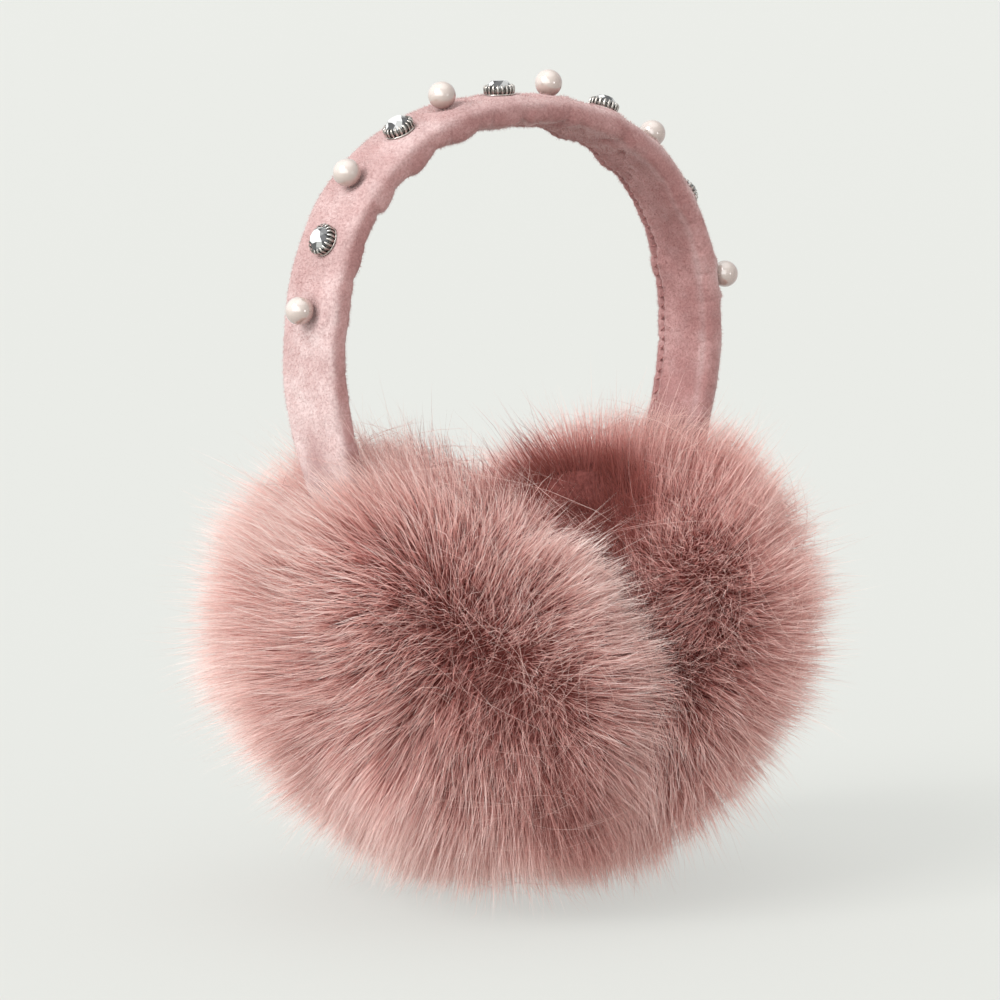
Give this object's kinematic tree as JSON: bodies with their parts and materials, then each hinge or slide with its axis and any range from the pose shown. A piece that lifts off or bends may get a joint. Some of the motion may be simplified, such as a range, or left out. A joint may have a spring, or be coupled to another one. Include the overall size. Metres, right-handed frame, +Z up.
{
  "type": "fur earmuffs",
  "caption": "Fluffy fur earmuffs on a padded velvet headband trimmed with pearls and claw-set cut stones.",
  "frame": {"origin": "on the resting surface, midway between the two cups and in their middle plane", "axes": "+Z up through the crown of the headband, +X from the left cup to the right one, -Y towards the wearer's front, the side that the trimming sits nearer to"},
  "size_m": [0.2004, 0.1588, 0.2395],
  "materials": {
    "velvet": "dusty pink short-napped velvet over soft padding, gathered a little at the inner edge",
    "fur": "deep dusty rose long-pile fur, dark at the roots with pale pink tips",
    "pearl": "creamy pink-white pearl lustre, glossy",
    "silver": "polished silver-coloured claw settings, darkened in the recesses",
    "crystal": "clear faceted crystal"
  },
  "bodies": {
    "root": {"headband": "velvet", "fur_cup_left": "fur", "fur_cup_right": "fur", "pearl_1": "pearl", "pearl_2": "pearl", "pearl_3": "pearl", "pearl_4": "pearl", "pearl_5": "pearl", "pearl_6": "pearl", "setting_1": "silver", "setting_2": "silver", "setting_3": "silver", "setting_4": "silver", "setting_5": "silver", "stone_1": "crystal", "stone_2": "crystal", "stone_3": "crystal", "stone_4": "crystal", "stone_5": "crystal"}
  },
  "joints": []
}
